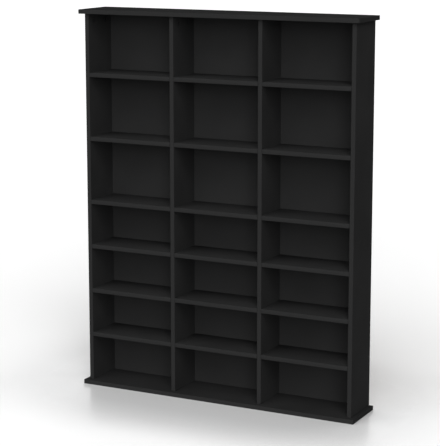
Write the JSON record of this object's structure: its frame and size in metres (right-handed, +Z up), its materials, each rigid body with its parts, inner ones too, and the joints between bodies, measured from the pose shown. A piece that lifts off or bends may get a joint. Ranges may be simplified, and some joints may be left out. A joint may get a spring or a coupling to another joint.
{
  "type": "cd rack",
  "caption": "Tall, shallow open-front rack of black boards, with overhanging top and base and columns of shelves that hold music and film discs in their cases.",
  "frame": {"origin": "on the floor, under the middle of the rack's overall box", "axes": "+Z up, along the height; +Y to the rear, along the depth, with the open front towards -Y; +X to the right, seen from the front"},
  "size_m": [1.041, 0.18, 1.337],
  "materials": {
    "black_laminate": "matt black laminate on particle board, edges banded to match, rear edges raw",
    "hardboard": "thin hardboard, black on its inner face and bare brown behind",
    "zinc": "cast zinc, dull black",
    "steel": "zinc-plated steel",
    "beech": "plain turned beech"
  },
  "bodies": {
    "root": {"top_panel": "black_laminate", "base_panel": "black_laminate", "left_side": "black_laminate", "left_divider": "black_laminate", "right_divider": "black_laminate", "right_side": "black_laminate", "left_back_panel": "hardboard", "middle_back_panel": "hardboard", "right_back_panel": "hardboard", "left_shelf_1": "black_laminate", "left_shelf_2": "black_laminate", "left_shelf_3": "black_laminate", "left_shelf_4": "black_laminate", "left_shelf_5": "black_laminate", "left_shelf_6": "black_laminate", "middle_shelf_1": "black_laminate", "middle_shelf_2": "black_laminate", "middle_shelf_3": "black_laminate", "middle_shelf_4": "black_laminate", "middle_shelf_5": "black_laminate", "middle_shelf_6": "black_laminate", "right_shelf_1": "black_laminate", "right_shelf_2": "black_laminate", "right_shelf_3": "black_laminate", "right_shelf_4": "black_laminate", "right_shelf_5": "black_laminate", "right_shelf_6": "black_laminate", "left_side_front_cam": "zinc", "left_side_front_cam_bolt": "steel", "left_side_front_base_screw": "steel", "left_side_rear_cam": "zinc", "left_side_rear_cam_bolt": "steel", "left_side_rear_base_screw": "steel", "left_side_top_dowel": "beech", "left_side_base_dowel": "beech", "left_divider_front_cam": "zinc", "left_divider_front_cam_bolt": "steel", "left_divider_front_base_screw": "steel", "left_divider_rear_cam": "zinc", "left_divider_rear_cam_bolt": "steel", "left_divider_rear_base_screw": "steel", "left_divider_top_dowel": "beech", "left_divider_base_dowel": "beech", "right_divider_front_cam": "zinc", "right_divider_front_cam_bolt": "steel", "right_divider_front_base_screw": "steel", "right_divider_rear_cam": "zinc", "right_divider_rear_cam_bolt": "steel", "right_divider_rear_base_screw": "steel", "right_divider_top_dowel": "beech", "right_divider_base_dowel": "beech", "right_side_front_cam": "zinc", "right_side_front_cam_bolt": "steel", "right_side_front_base_screw": "steel", "right_side_rear_cam": "zinc", "right_side_rear_cam_bolt": "steel", "right_side_rear_base_screw": "steel", "right_side_top_dowel": "beech", "right_side_base_dowel": "beech"}
  },
  "joints": []
}
